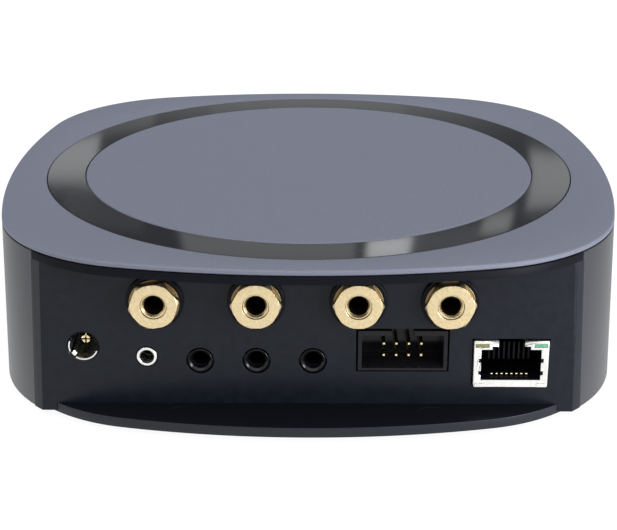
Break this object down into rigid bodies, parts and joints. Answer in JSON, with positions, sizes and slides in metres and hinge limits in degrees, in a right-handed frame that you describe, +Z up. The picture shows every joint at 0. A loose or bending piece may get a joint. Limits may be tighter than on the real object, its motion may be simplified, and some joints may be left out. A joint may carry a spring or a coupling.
{
  "type": "streaming amplifier",
  "caption": "Low rounded-square streaming amplifier with a gloss ring round a matte disc on top, and screw speaker terminals above power, audio, header and network sockets in a rear recess.",
  "frame": {"origin": "on the floor, under the centre of the case and of the round disc on its top", "axes": "+Z up, -Y out of the connector side, +X to the right for someone who faces the connectors"},
  "size_m": [0.138, 0.133, 0.0379],
  "materials": {
    "case_plastic": "fine matte moulding",
    "disc_plastic": "fine matte moulding",
    "gloss_plastic_black": "high gloss",
    "foot_rubber": "matte",
    "steel": "plain",
    "gold": "gold plated",
    "black_plastic": "moulded",
    "plated_metal": "tin plated",
    "lead_insulation": "insulated wire",
    "amber_lens": "moulded lens",
    "green_lens": "moulded lens",
    "circuit_board": "solder mask",
    "chip_epoxy": "moulded epoxy",
    "bare_aluminium": "extruded",
    "ferrite": "sintered",
    "capacitor_yellow": "moulded box",
    "capacitor_sleeve": "sleeved can",
    "antenna_film": "flexible film"
  },
  "bodies": {
    "chassis": {"amplifier_chip": "chip_epoxy", "antenna": "antenna_film", "antenna_lead": "lead_insulation", "audio_jack_1": "black_plastic", "audio_jack_2": "black_plastic", "audio_jack_3": "black_plastic", "base_plate": "case_plastic", "board_screws": "steel", "case_screws": "steel", "case_shell": "case_plastic", "connector_panel": "case_plastic", "control_chips": "chip_epoxy", "dc_jack_body": "black_plastic", "dc_jack_pin": "gold", "dc_jack_sleeve": "plated_metal", "foot_front_left": "foot_rubber", "foot_front_right": "foot_rubber", "foot_rear_left": "foot_rubber", "foot_rear_right": "foot_rubber", "gloss_ring": "gloss_plastic_black", "header_pins": "gold", "header_shroud": "black_plastic", "heat_sink": "bare_aluminium", "heat_sink_screws": "steel", "lan_contacts": "gold", "lan_insert": "black_plastic", "lan_led_left": "amber_lens", "lan_led_right": "green_lens", "lan_shield": "plated_metal", "main_board": "circuit_board", "output_capacitors": "capacitor_yellow", "output_inductors": "ferrite", "post_1_barrel": "gold", "post_1_collar": "black_plastic", "post_2_barrel": "gold", "post_2_collar": "black_plastic", "post_3_barrel": "gold", "post_3_collar": "black_plastic", "post_4_barrel": "gold", "post_4_collar": "black_plastic", "post_inner_washers": "black_plastic", "post_lock_washers": "steel", "post_rear_nuts": "gold", "radio_board": "circuit_board", "radio_pin_strips": "black_plastic", "radio_shield": "plated_metal", "reservoir_capacitors": "capacitor_sleeve", "service_jack_body": "black_plastic", "service_jack_ring": "plated_metal", "speaker_leads": "lead_insulation", "top_cover": "case_plastic", "top_disc": "disc_plastic"},
    "clamp_washer_1": {"post_1_washer": "gold"},
    "terminal_nut_1": {"post_1_nut": "gold"},
    "clamp_washer_2": {"post_2_washer": "gold"},
    "terminal_nut_2": {"post_2_nut": "gold"},
    "clamp_washer_3": {"post_3_washer": "gold"},
    "terminal_nut_3": {"post_3_nut": "gold"},
    "clamp_washer_4": {"post_4_washer": "gold"},
    "terminal_nut_4": {"post_4_nut": "gold"}
  },
  "joints": [
    {"name": "terminal_nut_1_travel", "type": "slide", "parent": "chassis", "child": "clamp_washer_1", "axis": [0, -1, 0], "range_m": [0, 0.0008]},
    {"name": "terminal_nut_1_turn", "type": "hinge", "parent": "clamp_washer_1", "child": "terminal_nut_1", "pos_m": [-0.0306, -0.0562, 0.0265], "axis": [0, -1, 0], "range_deg": [0, 360]},
    {"name": "terminal_nut_2_travel", "type": "slide", "parent": "chassis", "child": "clamp_washer_2", "axis": [0, -1, 0], "range_m": [0, 0.0008]},
    {"name": "terminal_nut_2_turn", "type": "hinge", "parent": "clamp_washer_2", "child": "terminal_nut_2", "pos_m": [-0.0102, -0.0562, 0.0265], "axis": [0, -1, 0], "range_deg": [0, 360]},
    {"name": "terminal_nut_3_travel", "type": "slide", "parent": "chassis", "child": "clamp_washer_3", "axis": [0, -1, 0], "range_m": [0, 0.0008]},
    {"name": "terminal_nut_3_turn", "type": "hinge", "parent": "clamp_washer_3", "child": "terminal_nut_3", "pos_m": [0.0103, -0.0562, 0.0265], "axis": [0, -1, 0], "range_deg": [0, 360]},
    {"name": "terminal_nut_4_travel", "type": "slide", "parent": "chassis", "child": "clamp_washer_4", "axis": [0, -1, 0], "range_m": [0, 0.0008]},
    {"name": "terminal_nut_4_turn", "type": "hinge", "parent": "clamp_washer_4", "child": "terminal_nut_4", "pos_m": [0.0287, -0.0562, 0.0265], "axis": [0, -1, 0], "range_deg": [0, 360]}
  ],
  "couplings": [
    {"joint": "terminal_nut_1_turn", "follows": "terminal_nut_1_travel", "rad_per_m": 7854},
    {"joint": "terminal_nut_2_turn", "follows": "terminal_nut_2_travel", "rad_per_m": 7854},
    {"joint": "terminal_nut_3_turn", "follows": "terminal_nut_3_travel", "rad_per_m": 7854},
    {"joint": "terminal_nut_4_turn", "follows": "terminal_nut_4_travel", "rad_per_m": 7854}
  ]
}
